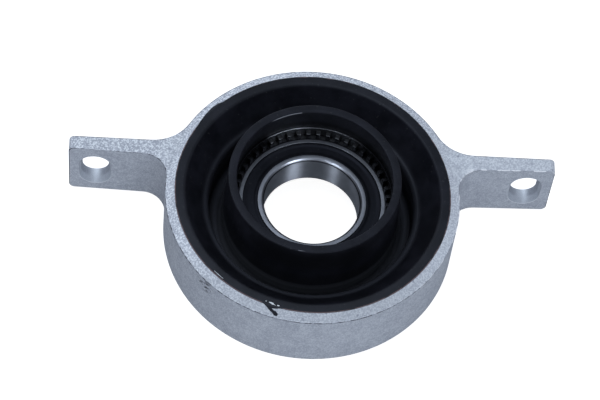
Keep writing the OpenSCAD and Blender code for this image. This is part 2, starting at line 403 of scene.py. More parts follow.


# Painted sheen of the sloping rim, which changes from place to place
rim_facing = (0.97, 0.9)
rim_x = (-60.0, 60.0)
rim_x_shine = (0.16, 0.05)
rim_front_y = (-52.0, -30.0)
rim_front_shine = (-0.24, 0.0)
rim_back_y = (20.0, 50.0)
rim_back_shine = (0.0, -0.06)


def paint_rim_sheen(tree, colour, axes, facing, lit_top):
    """Painted sheen on the sloping rim: brightest on its left and darkest at its front."""
    rim = product(tree, lit_top, ramp(tree, facing, *rim_facing))
    shine = map_range(tree, axes["X"], *mm(*rim_x), *rim_x_shine)
    for span, change in ((rim_front_y, rim_front_shine), (rim_back_y, rim_back_shine)):
        shine = math_node(tree, "ADD", shine, map_range(tree, axes["Y"], *mm(*span), *change))
    shine = scale_add(tree, rim, shine, 1.0)
    return add(tree, "VectorMath", {0: colour, "Scale": shine}, operation="SCALE").outputs[0]


# A knock on the wall at the front left has left dark strokes
scuff_angle = math.radians(-134.5)
scuff_z = 26.8
scuff_size = 6.0
scuff_core = 0.2
stroke_scale = 700.0
stroke_span = (0.53, 0.59)
scuff_dark = (0.05, 0.05, 0.06, 1)


def scuff_mask(tree, place):
    """Strokes round the knocked spot."""
    spot = Vector((*polar(ring_r, scuff_angle), scuff_z)) * MM
    away = add(tree, "VectorMath", {0: place, 1: spot}, operation="DISTANCE").outputs["Value"]
    around = zone(tree, away, scuff_size, scuff_core * scuff_size)
    strokes = noise_value(tree, place, stroke_scale, detail=1.0)
    return product(tree, around, ramp(tree, strokes, *stroke_span))


# Painted glints: near-white dashes on the front arris of the right lug's top, where the edge catches the
# light
arris_depth = (0.5, 0.35)
arris_drop = (0.2, 0.1)
arris_x = (62.0, 70.0)
dash_scale = 330.0
dash_span = (0.46, 0.54)
glint_white = (1.0, 0.98, 0.98, 1)


# Broken dashes for the painted glints on the right lug's edges
def glint_dashes(tree, place):
    return ramp(tree, noise_value(tree, place, dash_scale), *dash_span)


def arris_glint_mask(tree, place, axes):
    """Painted glints in dashes beside the front edge of the right lug's top."""
    across = (-math.tan(lug_draft), 1, 0)
    depth = add(tree, "VectorMath", {0: place, 1: across}, operation="DOT_PRODUCT").outputs["Value"]
    front_face = lug_back_y - lug_t - lug_tip_x * math.tan(lug_draft)
    return product(
        tree,
        zone(tree, depth, *[front_face + inward for inward in arris_depth]),
        zone(tree, axes["Z"], *[ring_h - drop for drop in arris_drop]),
        zone(tree, axes["X"], *arris_x),
        glint_dashes(tree, place),
    )


blast_depth = 0.1
fleck_rough = (0.1, -0.08)
cast_metal = 0.2


def cast_aluminium(name, dark, bright, roughness, bump):
    """Blasted aluminium with its flecks and grain, painted light on its tops, the rim's painted sheen, the
    scuff and painted glints on the arris.
    """
    material, tree, shader = new_material(name)
    skin = use_group(tree, blasted_skin)
    coords = add(tree, "TexCoord").outputs
    place = coords["Object"]
    axes = add(tree, "SeparateXYZ", {0: place}).outputs
    facing = add(tree, "SeparateXYZ", {0: coords["Normal"]}).outputs["Z"]
    # Painted light: upward faces near the top get the lighter, sparkling tone
    lit_top = product(tree, ramp(tree, facing, *lit_top_facing), zone(tree, axes["Z"], *lit_top_z))
    colour = mix_colour(tree, blasted_tone(tree, skin, axes, lit_top), dark, bright)
    colour = paint_rim_sheen(tree, colour, axes, facing, lit_top)
    colour = mix_colour(tree, scuff_mask(tree, place), colour, scuff_dark)
    colour = mix_colour(tree, arris_glint_mask(tree, place, axes), colour, glint_white)
    rough = map_range(tree, skin["Fleck"], 0, 1, *[roughness + change for change in fleck_rough])
    feed_skin(tree, shader, colour, rough, skin["Height"], bump, blast_depth)
    shader.inputs["Metallic"].default_value = cast_metal
    return material


# Slots: smoother where the core lay, with painted shade on the sides of the deep half
shade_depth = (0.66, 0.42)
shade_facing = (0.2, 0.6)
shade_tone = -0.42
slot_grain = 0.3
slot_tone = 0.7
slot_metal = 0.4


def slot_skin(name, dark, bright, roughness):
    """Smooth cored skin of the slots, with painted shade on the sides of the deep half."""
    material, tree, shader = new_material(name)
    skin = use_group(tree, blasted_skin)
    coords = add(tree, "TexCoord").outputs
    depth = add(tree, "SeparateXYZ", {0: coords["Object"]}).outputs["Y"]
    sideways = math_node(tree, "ABSOLUTE", add(tree, "SeparateXYZ", {0: coords["Normal"]}).outputs["X"])
    deep = zone(tree, depth, *[lug_back_y - share * lug_t for share in shade_depth])
    # Painted shade: the sides of the slot's deep half are darkened
    painted_lighting = product(tree, deep, ramp(tree, sideways, *shade_facing))
    tone = scale_add(tree, skin["Grain"], slot_grain, slot_tone)
    tone = scale_add(tree, painted_lighting, shade_tone, tone)
    tree.links.new(mix_colour(tree, tone, dark, bright), shader.inputs["Base Color"])
    shader.inputs["Roughness"].default_value = roughness
    shader.inputs["Metallic"].default_value = slot_metal
    return material


# Edges: a broken dark line, made all dark at the left tip as painted shade; round the slots a grey line,
# paler towards the lower edges as painted light; painted glints in dashes on the right lug's front
line_scale = 520.0
line_span = (0.42, 0.6)
left_tip_shade_x = (-98.5, -100.0)
slot_zone_x = (82.0, 83.0, 98.5, 99.5)
slot_zone_z = (3.0, 4.0, 27.0, 28.0)
slot_lit_drop = 6.0
glint_x = (30.0, 60.0)
glint_y = (19.0, 18.0)
glint_drop = (2.0, 1.0)
edge_rough = 0.55


def cast_edges(name, dark, grey, lit_pale, bare):
    """Edges of the casting: a broken dark line, painted shade at the left tip, painted light on the slots'
    lower edges, and painted glints in dashes on the right lug.
    """
    material, tree, shader = new_material(name)
    place = add(tree, "TexCoord").outputs["Object"]
    axes = add(tree, "SeparateXYZ", {0: place}).outputs
    line = mix_colour(tree, ramp(tree, noise_value(tree, place, line_scale), *line_span), dark, grey)
    # Painted shade: every edge of the left tip is dark
    line = mix_colour(tree, zone(tree, axes["X"], *left_tip_shade_x), line, dark)
    beside = math_node(tree, "ABSOLUTE", axes["X"])
    at_slot = product(tree, band(tree, axes["Z"], *slot_zone_z), band(tree, beside, *slot_zone_x))
    # Painted light: the slots' edges are paler below, where they face up
    lower = zone(tree, axes["Z"], slot_z, slot_z - slot_lit_drop)
    line = mix_colour(tree, at_slot, line, mix_colour(tree, lower, grey, lit_pale))
    # Painted glints: near-white dashes along the right lug's front top edges
    painted_lighting = product(
        tree,
        zone(tree, axes["X"], *glint_x),
        zone(tree, axes["Y"], *glint_y),
        zone(tree, axes["Z"], *[ring_h - drop for drop in glint_drop]),
    )
    glint_colour = mix_colour(tree, glint_dashes(tree, place), grey, bare)
    tree.links.new(mix_colour(tree, painted_lighting, line, glint_colour), shader.inputs["Base Color"])
    shader.inputs["Roughness"].default_value = edge_rough
    shader.inputs["Metallic"].default_value = cast_metal
    return material


bracket.data.materials.append(cast_aluminium(
    "blasted_aluminium", dark=(0.4, 0.41, 0.46, 1), bright=(0.83, 0.84, 0.86, 1), roughness=0.58, bump=0.4,
))
bracket.data.materials.append(cast_edges(
    "cast_edges", dark=(0.06, 0.06, 0.075, 1), grey=(0.42, 0.43, 0.47, 1), lit_pale=(0.8, 0.81, 0.83, 1),
    bare=glint_white,
))
bracket.data.materials.append(slot_skin(
    "slot_skin", dark=(0.2, 0.21, 0.26, 1), bright=(0.72, 0.74, 0.78, 1), roughness=0.42,
))
skin_index = 0
edge_index = 1
slot_index = 2


def slot_level(depth):
    """Outline of the right slot's core at this place along Y, wider by its draft towards the front."""
    half_w = slot_half_w + (lug_back_y - depth) * math.tan(slot_draft)
    upper = arc(Vector((slot_x, slot_z + slot_half_straight)), half_w, 0, math.pi, fillet_step)
    lower = arc(Vector((slot_x, slot_z - slot_half_straight)), half_w, math.pi, math.tau, fillet_step)
    return [Vector((p.x, depth, p.y)) * MM for p in upper + lower]


apply_modifier(
    bracket, "BEVEL", width=cast_edge * MM, segments=cast_edge_steps, limit_method="ANGLE",
    angle_limit=cast_edge_angle, material=edge_index, use_clamp_overlap=False,
)
core_levels = [slot_level(lug_back_y + core_past), slot_level(lug_back_y - lug_t - core_past)]
slot_core = loft("slot_core", core_levels)
for outline in core_levels:
    pick(slot_core, lambda co: abs(co.y - outline[0].y) < MERGE)
    bpy.ops.mesh.edge_face_add()
close_mesh()
bpy.ops.object.mode_set(mode="OBJECT")
apply_modifier(slot_core, "MIRROR")
for face in slot_core.data.polygons:
    face.material_index = slot_index
apply_modifier(bracket, "BOOLEAN", operation="DIFFERENCE", object=slot_core, solver="EXACT")
bpy.data.objects.remove(slot_core)
bpy.context.view_layer.objects.active = bracket
bpy.ops.object.mode_set(mode="EDIT")
slot_reach = 1.5 * slot_half_w
slot_rise = 0.4 * ring_h
for front in (True, False):
    pick(bracket, lambda co: (
        abs(abs(co.x) - slot_x * MM) < slot_reach * MM
        and abs(co.z - slot_z * MM) < slot_rise * MM
        and (co.y < (lug_back_y - lug_t / 2) * MM) == front
    ))
    bpy.ops.mesh.bevel(
        offset=slot_edge * MM, segments=slot_edge_steps, affect="EDGES", material=edge_index,
    )
bpy.ops.object.mode_set(mode="OBJECT")
for face in bracket.data.polygons:
    at_bore = Vector(face.center[:2]).length < (ring_bore_r + 2 * cast_edge) * MM
    if face.material_index == edge_index and at_bore:
        face.material_index = skin_index
smooth(bracket, cast_smooth)
apply_modifier(bracket, "WEIGHTED_NORMAL", keep_sharp=True)
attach(bracket, "bracket")
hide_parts("bracket")


# Rubber mount
# One black rubber moulding, vulcanised to the ring's bore and to the bearing's sleeve.
# A lip lines the rim, a folded bellows lets the hub move, and a tall collar guards the shaft.

turn_steps = 256
round_steps = 5
turn_smooth = 35
sleeve_r = 33.4
sleeve_top = 30.7
bellows_t = 3.6
hub_foot = 5.4
trough_floor = hub_foot + bellows_t
trough_in_r = 37.0
trough_out_r = 43.2
trough_round = 2.9
ridge = Vector((44.4, 22.6))
lip_edge = Vector((53.15, rim_top))
bond_t = 2.8
bond_r = ring_bore_r - bond_t
collar_in_r = 32.0
collar_out_r = 35.7
collar_top = 43.8
collar_in_round = 0.6
rubber_round = 0.9
ledge_w = 1.2
ledge_in_r = 42.8
ledge_fall = 0.8
ledge_round = 1.5
bond_line_w = 0.35
bond_line_r = ring_bore_r - bond_line_w
bond_line_depth = 0.01


def turned(name, corners):
    """Ring of revolution about the shaft axis through (radius, height, rounding) corners."""
    places = [Vector((radius, 0, height)) * MM for radius, height, _ in corners]
    piece = wire(name, places)
    join_ends(piece, places)
    for place, (_, _, rounding) in zip(places, corners):
        if rounding:
            pick(piece, lambda co: near(co, place))
            bpy.ops.mesh.bevel(offset=rounding * MM, segments=round_steps, affect="VERTICES")
    bpy.ops.mesh.select_all(action="SELECT")
    bpy.ops.mesh.spin(steps=turn_steps, angle=math.tau, center=(0, 0, 0), axis=(0, 0, 1))
    close_mesh()
    bpy.ops.object.mode_set(mode="OBJECT")
    smooth(piece, turn_smooth)
    return piece


slope = (lip_edge - ridge).normalized()
ledge_out = ridge + ledge_w * slope
underside = ridge + bellows_t * Vector((slope.y, -slope.x))
bellows_out_r = trough_out_r + bellows_t
fold = underside + slope * (bellows_out_r - underside.x) / slope.x
crown = underside + slope * (bond_r - underside.x) / slope.x
rubber = turned("rubber_moulding", [
    (ring_bore_r, rim_top, 0),
    (bond_line_r, rim_top, 0),
    (lip_edge.x, lip_edge.y, rubber_round),
    (ledge_out.x, ledge_out.y, ledge_round / 2),
    (ledge_in_r, ledge_out.y - ledge_fall, ledge_round),
    (trough_out_r, trough_floor, trough_round),
    (trough_in_r, trough_floor, trough_round),
    (collar_out_r, collar_top, rubber_round / 2),
    (collar_in_r, collar_top, collar_in_round),
    (sleeve_r, sleeve_top, 0),
    (sleeve_r, hub_foot, rubber_round),
    (bellows_out_r, hub_foot, trough_round),
    (fold.x, fold.y, rubber_round),
    (crown.x, crown.y, rubber_round),
    (bond_r, foot_chamfer, rubber_round),
    (ring_bore_r, foot_chamfer, 0),
])

# Moulded rubber skin: broad bloom, fine dust and the grain of the mould
dust_scale = 900.0
bloom_span = (0.35, 0.7)
dust_span = (0.7, 0.76)
moulded_skin, skin_in, skin_out = effect_group(
    "moulded_skin", {"Grain scale": 2200.0, "Bloom scale": 90.0}, ("Bloom", "Dust", "Height")
)
place = add(moulded_skin, "TexCoord").outputs["Object"]
grain = noise_value(moulded_skin, place, skin_in.outputs["Grain scale"], detail=3.0, roughness=0.6)
bloom = noise_value(moulded_skin, place, skin_in.outputs["Bloom scale"], detail=5.0, roughness=0.65)
dust = noise_value(moulded_skin, place, dust_scale, detail=1.0)
moulded_skin.links.new(ramp(moulded_skin, bloom, *bloom_span), skin_out.inputs["Bloom"])
moulded_skin.links.new(ramp(moulded_skin, dust, *dust_span), skin_out.inputs["Dust"])
moulded_skin.links.new(grain, skin_out.inputs["Height"])
speck_share = 0.5
bloom_rough = (-0.06, 0.08)
mould_depth = 0.05
rubber_tint = (0.75, 0.79, 1.0, 1)


def moulded_rubber(name, dark, bloomed, dusty, roughness, bump, gloss):
    """Black rubber with a pale bloom and a few specks of dust."""
    material, tree, shader = new_material(name)
    skin = use_group(tree, moulded_skin)
    colour = mix_colour(tree, skin["Bloom"], dark, bloomed)
    colour = mix_colour(tree, product(tree, skin["Dust"], speck_share), colour, dusty)
    rough = map_range(tree, skin["Bloom"], 0, 1, *[roughness + change for change in bloom_rough])
    feed_skin(tree, shader, colour, rough, skin["Height"], bump, mould_depth)
    shader.inputs["Specular IOR Level"].default_value = gloss
    shader.inputs["Specular Tint"].default_value = rubber_tint
    return material


primer_y = (-50.0, 50.0)
primer_more = (0.12, -0.08)
primer_scale = 260.0
primer_span = (0.42, 0.62)
primer_rough = 0.7


def bonding_primer(name, bare, primed):
    """Reddish bonding primer that shows in a broken line between rubber and metal, most at the front."""
    material, tree, shader = new_material(name)
    place = add(tree, "TexCoord").outputs["Object"]
    depth = add(tree, "SeparateXYZ", {0: place}).outputs["Y"]
    more = map_range(tree, depth, *mm(*primer_y), *primer_more)
    broken = math_node(tree, "ADD", noise_value(tree, place, primer_scale, detail=3.0), more)
    colour = mix_colour(tree, ramp(tree, broken, *primer_span), bare, primed)
    tree.links.new(colour, shader.inputs["Base Color"])
    shader.inputs["Roughness"].default_value = primer_rough
    return material


mount_rubber = moulded_rubber(
    "mount_rubber", dark=(0.0054, 0.0055, 0.0076, 1), bloomed=(0.011, 0.011, 0.0152, 1),
    dusty=(0.04, 0.04, 0.04, 1), roughness=0.4, bump=0.5, gloss=0.1,
)


def object_axes(tree):
    """X, Y and Z of the place on the piece."""
    return add(tree, "SeparateXYZ", {0: add(tree, "TexCoord").outputs["Object"]}).outputs


def axis_radius(tree, axes):
    """Distance from the shaft axis."""
    across = add(tree, "CombineXYZ", {0: axes["X"], 1: axes["Y"]}).outputs[0]
    return add(tree, "VectorMath", {0: across}, operation="LENGTH").outputs["Value"]


def axis_angle(tree, axes):
    """Angle round the shaft axis."""
    return math_node(tree, "ARCTAN2", axes["Y"], axes["X"])


def section_noise(tree, radius, height, scale, detail=2.0, roughness=0.5):
    """Noise that stays the same round the shaft axis, so it shows as lines."""
    section = add(tree, "CombineXYZ", {0: radius, 1: height}).outputs[0]
    return noise_value(tree, section, scale, detail, roughness)


def lay_colour(tree, shader, mask, stain):
    """Lays a colour over the shader's colour where the mask is 1: a stain, dust, painted light or painted
    shade.
    """
    base = shader.inputs["Base Color"]
    tree.links.new(mix_colour(tree, mask, base.links[0].from_socket, stain), base)


arc_rise = 0.1
arc_soft = 0.05
arc_start = 0.25


def glint_arc(tree, axes, radius, angles, radii, floor, fade):
    """Thin arc for a painted glint, between two angles and two radii, above a height, that fades towards its
    end.
    """
    angle = axis_angle(tree, axes)
    first, last, fade = (math.radians(a) for a in (*angles, fade))
    inner_r, outer_r = radii
    return product(
        tree,
        zone(tree, axes["Z"], floor, floor + arc_rise),
        ramp(tree, angle, first, first + arc_start * fade),
        ramp(tree, angle, last, last - fade),
        band(tree, radius, inner_r, inner_r + arc_soft, outer_r - arc_soft, outer_r),
    )


# Wear and painted light by place: gloss, painted shade on the collar, dust settled in the trough and bloom
# at the ridge, both also painted light, and painted glint arcs
front_y = (10.0, -30.0)
lip_zone_r = (50.0, 53.0)
right_lip_x = (30.0, 50.0)
upper_cone_r = (48.0, 50.0, 52.6, 53.2)
upper_cone_y = (-12.0, 12.0)
collar_front_r = (35.6, 35.9, 37.5, 39.0)
collar_front_y = (-22.0, -32.0)
collar_upper_z = (26.0, 34.0)
collar_inside_r = (34.1, 33.7)
collar_inside_z = (37.0, 34.0)
collar_zone_r = (40.0, 38.0)
trough_zone_z = (18.0, 14.0)
mount_gloss = 0.24
collar_gloss = -0.09
trough_gloss = -0.24
lip_gloss = 0.13
right_lip_gloss = -0.1
upper_cone_gloss = -0.2
collar_front_gloss = -0.15
collar_inside_gloss = -0.15
gloss_rough = 0.4
haze_light_z = (30.0, 20.0)
haze_light_share = 0.12
settled_light_z = (19.5, 18.0)
settled_light_foot_z = (5.5, 8.5)
settled_light_r = (42.8, 41.8)
settled_light_share = 1.5
settled_light_front = (0.65, 0.35)
settled_light_scale = 700.0
bloom_light_r = (41.5, 42.8, 44.6, 46.6)
bloom_light_z = (12.0, 18.0)
bloom_light_front = (0.7, 0.3)
glint_down = 0.7
glint_floor = collar_top - glint_down


def dust_and_painted_light(tree, axes, radius, front):
    """Haze low in the trough and dust that has run down its walls in lines, most at the front. Its pale
    colour is also painted light that lifts the deep trough's shade.
    """
    haze_light = product(tree, zone(tree, axes["Z"], *haze_light_z), haze_light_share)
    lines = section_noise(tree, radius, axes["Z"], settled_light_scale)
    low = product(tree, zone(tree, axes["Z"], *settled_light_z), lines)
    return product(
        tree,
        scale_add(tree, low, settled_light_share, haze_light),
        zone(tree, radius, *settled_light_r),
        scale_add(tree, front, *settled_light_front),
        zone(tree, axes["Z"], *settled_light_foot_z),
    )


def wear_mount(material, collar_shade, dusty, bloomed, painted_lighting):
    """Gloss best on the lip's front and gone in the trough; painted shade on the collar, dust and bloom that
    are also painted light, and painted glint arcs.
    """
    tree = material.node_tree
    shader = tree.nodes["Principled BSDF"]
    axes = object_axes(tree)
    radius = axis_radius(tree, axes)
    front = zone(tree, axes["Y"], *front_y)
    lip = zone(tree, radius, *lip_zone_r)
    right = zone(tree, axes["X"], *right_lip_x)
    upper_cone = product(tree, band(tree, radius, *upper_cone_r), zone(tree, axes["Y"], *upper_cone_y))
    collar_front = product(
        tree, band(tree, radius, *collar_front_r), zone(tree, axes["Y"], *collar_front_y)
    )
    collar_inside = product(
        tree, zone(tree, radius, *collar_inside_r), zone(tree, axes["Z"], *collar_inside_z)
    )
    gloss = scale_add(tree, zone(tree, radius, *collar_zone_r), collar_gloss, mount_gloss)
    for mask, change in (
        (zone(tree, axes["Z"], *trough_zone_z), trough_gloss),
        (product(tree, lip, front), lip_gloss),
        (product(tree, lip, right), right_lip_gloss),
        (upper_cone, upper_cone_gloss),
        (collar_front, collar_front_gloss),
        (collar_inside, collar_inside_gloss),
    ):
        gloss = scale_add(tree, mask, change, gloss)
    tree.links.new(math_node(tree, "MAXIMUM", gloss, 0.0), shader.inputs["Coat Weight"])
    shader.inputs["Coat Roughness"].default_value = gloss_rough
    collar_upper = product(tree, collar_front, zone(tree, axes["Z"], *collar_upper_z))
    bloom = product(
        tree,
        band(tree, radius, *bloom_light_r),
        zone(tree, axes["Z"], *bloom_light_z),
        scale_add(tree, front, *bloom_light_front),
    )
    back_glint = glint_arc(
        tree, axes, radius, angles=(99.6, 126), radii=(32.05, 32.26), floor=glint_floor, fade=7
    )
    front_glint = glint_arc(
        tree, axes, radius, angles=(-101, -95), radii=(35.3, 35.5), floor=glint_floor, fade=4
    )
    # Painted shade: the collar's upper front and its low inside are darker
    lay_colour(tree, shader, math_node(tree, "MAXIMUM", collar_upper, collar_inside), collar_shade)
    # Dust in the trough, also painted light that lifts its shade
    lay_colour(tree, shader, dust_and_painted_light(tree, axes, radius, front), dusty)
    # Bloom at the ridge and on the trough's outer wall, strongest at the front, also painted light that
    # lifts the wall's shade
    lay_colour(tree, shader, bloom, bloomed)
    # Painted glints: thin bright arcs on the collar's top edges, at the back and at the front
    lay_colour(tree, shader, math_node(tree, "ADD", back_glint, front_glint), painted_lighting)


wear_mount(
    mount_rubber, collar_shade=(0.0035, 0.0035, 0.0042, 1), dusty=(0.075, 0.076, 0.085, 1),
    bloomed=(0.034, 0.035, 0.042, 1), painted_lighting=(0.24, 0.24, 0.26, 1),
)
rubber.data.materials.append(mount_rubber)
rubber.data.materials.append(
    bonding_primer("bonding_primer", bare=(0.006, 0.005, 0.006, 1), primed=(0.17, 0.11, 0.11, 1))
)
primer_index = 1
for face in rubber.data.polygons:
    on_top = face.center.z > (rim_top - bond_line_depth) * MM
    if on_top and Vector(face.center[:2]).length > bond_line_r * MM:
        face.material_index = primer_index
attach(rubber, "bracket")
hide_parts("rubber_mount")


# Rubber flash
# Films of rubber that ran over the rim when the mount was moulded, left as they came out.
# Flakes of bare metal stick in the lip beside the front one.

flash_t = 0.16
flake_t = 0.1
film_strands = 7
film_smooth = 40
rim_slope = (rim_top - ring_h) / (ring_r - rim_land - ring_bore_r)


def film(name, spine, thickness, material):
    """Thin strip on the rim along (radius, degrees, half width) places."""
    middle = [polar(radius, math.radians(degrees)) for radius, degrees, _ in spine]
    strands = [[] for _ in range(film_strands)]
    for index, place in enumerate(middle):
        ahead = middle[min(index + 1, len(middle) - 1)] - middle[max(index - 1, 0)]
        across = ahead.normalized().orthogonal() * spine[index][2]
        for step, strand in enumerate(strands):
            spot = place + across * (2 * step / (film_strands - 1) - 1)
            height = rim_top - max(0, spot.length - ring_bore_r) * rim_slope
            strand.append(Vector((spot.x, spot.y, height)) * MM)
    piece = loft(name, strands, closed=False)
    close_mesh()
    bpy.ops.object.mode_set(mode="OBJECT")
    apply_modifier(piece, "SOLIDIFY", thickness=thickness * MM, offset=0)
    smooth(piece, film_smooth)
    piece.data.materials.append(material)
    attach(piece, "bracket")


flash_spines = {
    "flash_back": [
        (57.0, 148.5, 0.1), (57.15, 146.6, 0.35), (57.3, 142.5, 0.65), (57.6, 138.2, 0.85),
        (57.5, 134.4, 0.8), (57.0, 132.6, 0.15),
    ],
    "flash_tail": [
        (56.6, -110.2, 0.45), (57.4, -108.4, 0.5), (58.2, -107.0, 0.48), (59.0, -105.3, 0.52),
        (59.5, -104.2, 0.78), (59.9, -103.2, 0.45),
    ],
    "flash_front": [
        (56.9, -110.5, 0.25), (57.2, -108.2, 0.6), (57.35, -106.2, 0.75), (57.2, -104.4, 0.6),
        (57.0, -102.4, 0.3), (56.9, -101.5, 0.1),
    ],
}
flake_spines = {
    "flake_wide": [(56.0, -107.9, 0.15), (56.0, -107.0, 0.3), (56.1, -105.8, 0.25)],
    "flake_small": [(56.3, -104.2, 0.2), (56.35, -103.3, 0.22)],
    "flake_outer": [(56.45, -106.6, 0.1), (56.5, -105.6, 0.2), (56.6, -104.9, 0.12)],
    "flake_crumb": [(55.9, -109.4, 0.12), (55.95, -109.0, 0.14)],
    "flake_long": [(56.3, -134.9, 0.04), (56.35, -132.4, 0.1), (56.35, -129.6, 0.04)],
}
bare_metal = cast_aluminium(
    "bare_metal", dark=(0.7, 0.71, 0.72, 1), bright=(0.95, 0.95, 0.96, 1), roughness=0.4, bump=0.2,
)
for film_name, film_spine in flash_spines.items():
    film(film_name, film_spine, flash_t, mount_rubber)
for film_name, film_spine in flake_spines.items():
    film(film_name, film_spine, flake_t, bare_metal)


# Bearing sleeve
# A turned steel ring, phosphated black and bonded into the rubber hub. A punch has staked
# a ring of small teeth out of its rim, over the bearing. Painted highlights along the back make
# its upper edge bare-metal white and the teeth's tops grey, and painted light lifts the gaps between teeth.

bearing_z = 18.0
bearing_half_w = 7.5
bearing_top = bearing_z + bearing_half_w
bearing_foot = bearing_z - bearing_half_w
bearing_r = 31.0
flange_t = 1.6
sleeve_foot = bearing_foot - flange_t
counterbore_r = 32.7
seat_drop = 0.3
flange_r = 29.0
flange_round = 0.3
foot_round = 0.4
rim_round = 0.1
tooth_count = 48
tooth_w = 2.0
tooth_h = 3.4
tooth_in_r = 30.7
tooth_out_r = 33.05
tooth_round = 0.28
tooth_round_steps = 3

sleeve = turned("bearing_sleeve_ring", [
    (flange_r, sleeve_foot, flange_round),
    (sleeve_r, sleeve_foot, foot_round),
    (sleeve_r, sleeve_top, rim_round),
    (counterbore_r, sleeve_top, rim_round),
    (counterbore_r, bearing_top - seat_drop, 0),
    (bearing_r, bearing_top - seat_drop, rim_round),
    (bearing_r, bearing_foot, 0),
    (flange_r, bearing_foot, flange_round),
])
bpy.ops.object.mode_set(mode="EDIT")
bpy.ops.mesh.select_all(action="DESELECT")
bpy.ops.mesh.primitive_cube_add(
    size=MM,
    location=Vector(((tooth_in_r + tooth_out_r) / 2, 0, bearing_top + tooth_h / 2)) * MM,
    scale=(tooth_out_r - tooth_in_r, tooth_w, tooth_h),
)
bpy.ops.mesh.bevel(offset=tooth_round * MM, segments=tooth_round_steps, affect="EDGES")
tooth_turn = math.tau / tooth_count
bpy.ops.transform.rotate(value=tooth_turn / 2, orient_axis="Z", center_override=(0, 0, 0))
bpy.ops.mesh.spin(
    steps=tooth_count - 1, dupli=True, angle=math.tau - tooth_turn, center=(0, 0, 0), axis=(0, 0, 1)
)
bpy.ops.object.mode_set(mode="OBJECT")
smooth(sleeve, turn_smooth)

# Marks of turning and grinding: fine lines that run round the shaft axis
stain_span = (0.35, 0.7)
turning_marks, marks_in, marks_out = effect_group(
    "turning_marks", {"Line scale": 2600.0, "Stain scale": 120.0}, ("Lines", "Stain")
)
place = add(turning_marks, "TexCoord").outputs["Object"]
axes = add(turning_marks, "SeparateXYZ", {0: place}).outputs
lines = section_noise(
    turning_marks, axis_radius(turning_marks, axes), axes["Z"], marks_in.outputs["Line scale"],
    detail=4.0, roughness=0.7,
)
stain = noise_value(turning_marks, place, marks_in.outputs["Stain scale"], detail=4.0, roughness=0.6)
turning_marks.links.new(lines, marks_out.inputs["Lines"])
turning_marks.links.new(ramp(turning_marks, stain, *stain_span), marks_out.inputs["Stain"])
line_tone = 0.6
stain_tone = 0.4
line_rough = (-0.05, 0.07)
line_depth = 0.01
quarter_turn = 0.25


def turned_steel(name, dark, bright, roughness, bump, across_lines=0.3):
    """Machined steel with turning lines and faint stains."""
    material, tree, shader = new_material(name)
    marks = use_group(tree, turning_marks)
    tone = scale_add(tree, marks["Stain"], stain_tone, product(tree, marks["Lines"], line_tone))
    colour = mix_colour(tree, tone, dark, bright)
    rough = map_range(tree, marks["Lines"], 0, 1, *[roughness + change for change in line_rough])
    feed_skin(tree, shader, colour, rough, marks["Lines"], bump, line_depth)
    shader.inputs["Metallic"].default_value = 1.0
    shader.inputs["Anisotropic"].default_value = across_lines
    shader.inputs["Anisotropic Rotation"].default_value = quarter_turn
    round_axis = add(tree, "Tangent", direction_type="RADIAL", axis="Z").outputs[0]
    tree.links.new(round_axis, shader.inputs["Tangent"])
    return material


lit_from = math.radians(45)
lit_rise = 0.5
lit_to = math.radians(128)
lit_fall = 0.12
lit_facing = (0.6, 0.95)
lit_stain = (0.4, 0.6)
gleam_land = (0.5, 0.4)
gleam_drop = (0.3, 0.1)
gleam_angles = (math.radians(85), math.radians(103))
gleam_share = (0.6, 0.4)
lit_gap_share = (0.8, 0.2)
gap_foot = (-0.1, 1.1)


def phosphated_steel(name, dark, lit_gap, painted_lighting, bare, roughness):
    """Black phosphate, with painted highlights along the back: grey on top of the teeth and bare-metal white
    on the rim's edge, and painted light in the gaps between the teeth.
    """
    material, tree, shader = new_material(name)
    marks = use_group(tree, turning_marks)
    coords = add(tree, "TexCoord").outputs
    axes = add(tree, "SeparateXYZ", {0: coords["Object"]}).outputs
    facing = add(tree, "SeparateXYZ", {0: coords["Normal"]}).outputs["Z"]
    angle = axis_angle(tree, axes)
    radius = axis_radius(tree, axes)
    back = product(
        tree,
        ramp(tree, angle, lit_from, lit_from + lit_rise),
        ramp(tree, angle, lit_to, lit_to - lit_fall),
    )
    high = zone(tree, axes["Z"], *[sleeve_top - drop for drop in gleam_drop])
    # Painted highlight: the rim's edge is bare-metal white, shown only along the back
    edge_gleam = product(
        tree,
        scale_add(tree, ramp(tree, angle, *gleam_angles), *gleam_share),
        zone(tree, radius, *[counterbore_r + land for land in gleam_land]),
        high,
    )
    # Painted light: the counterbore's wall and floor between the teeth are lightened where shade falls, most
    # along the back
    gap_light = product(
        tree,
        math_node(tree, "SUBTRACT", zone(tree, radius, bearing_r, counterbore_r), high),
        scale_add(tree, back, *lit_gap_share),
        zone(tree, axes["Z"], *[bearing_top + rise for rise in gap_foot]),
    )
    # Painted highlight: upward faces turn grey along the back, as the tops of the teeth catch the light
    lit_tops = product(
        tree, back, ramp(tree, facing, *lit_facing), scale_add(tree, marks["Stain"], *lit_stain)
    )
    plain = mix_colour(tree, gap_light, dark, lit_gap)
    highlight_colour = mix_colour(tree, edge_gleam, painted_lighting, bare)
    tree.links.new(mix_colour(tree, lit_tops, plain, highlight_colour), shader.inputs["Base Color"])
    shader.inputs["Roughness"].default_value = roughness
    shader.inputs["Metallic"].default_value = 1.0
    return material


sleeve.data.materials.append(phosphated_steel(
    "phosphated_steel", dark=(0.014, 0.014, 0.016, 1), lit_gap=(0.045, 0.045, 0.047, 1),
    painted_lighting=(0.14, 0.14, 0.145, 1), bare=(0.85, 0.85, 0.9, 1), roughness=0.4,
))
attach(sleeve, "bracket")
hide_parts("bearing_sleeve")


# Outer race
# Ground bearing steel, pressed into the sleeve. A groove for the balls runs round the inside,
# and a seat at each end takes the bead of a seal.

